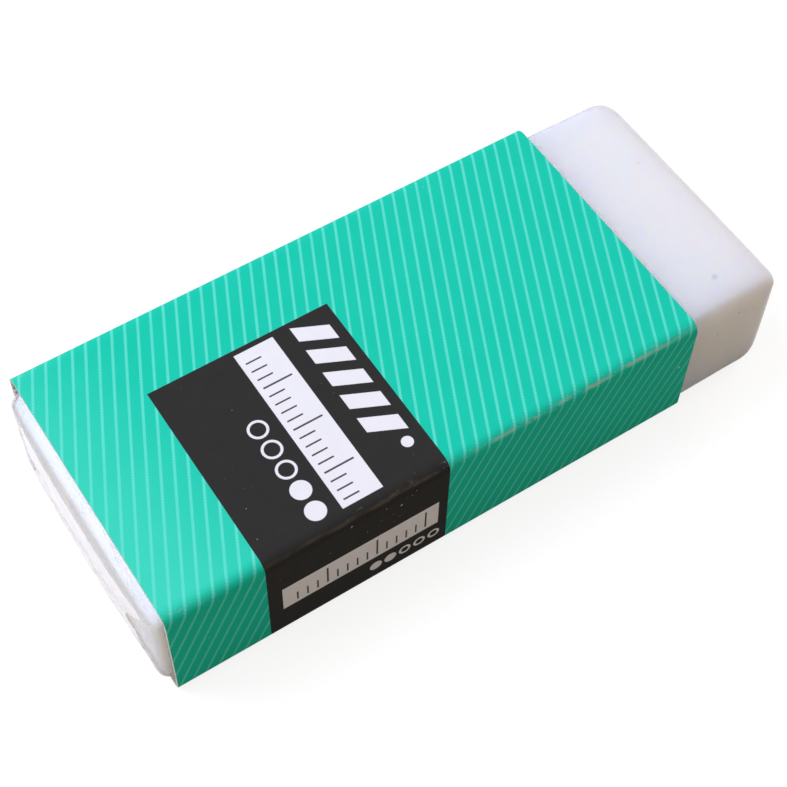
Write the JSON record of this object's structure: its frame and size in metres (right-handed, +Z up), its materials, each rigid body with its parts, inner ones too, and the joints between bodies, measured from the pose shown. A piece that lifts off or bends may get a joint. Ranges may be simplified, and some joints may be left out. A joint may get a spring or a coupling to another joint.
{
  "type": "block eraser",
  "caption": "White vinyl block eraser in a clear film overwrap, held in a folded card sleeve that leaves one end bare and slides along the block.",
  "frame": {"origin": "middle of the footprint, on the surface that the sleeve's broad lower face lies on", "axes": "+X along the block towards its bare working end, +Y across the width towards the sleeve's glued side, +Z up through the printed broad face"},
  "size_m": [0.0592, 0.0252, 0.012],
  "materials": {
    "vinyl": "smooth, softly satin white vinyl",
    "clear_film": "thin clear glossy film, creased where it is folded over the ends",
    "printed_card": "smooth coated card, green with thin pale slanting lines and a black panel, white cut edges"
  },
  "bodies": {
    "sleeve": {"card_sleeve": "printed_card"},
    "block": {"eraser_block": "vinyl", "film_wrap": "clear_film"}
  },
  "joints": [
    {"name": "block_slide", "type": "slide", "parent": "sleeve", "child": "block", "axis": [1, 0, 0], "range_m": [-0.056, 0.047]}
  ]
}
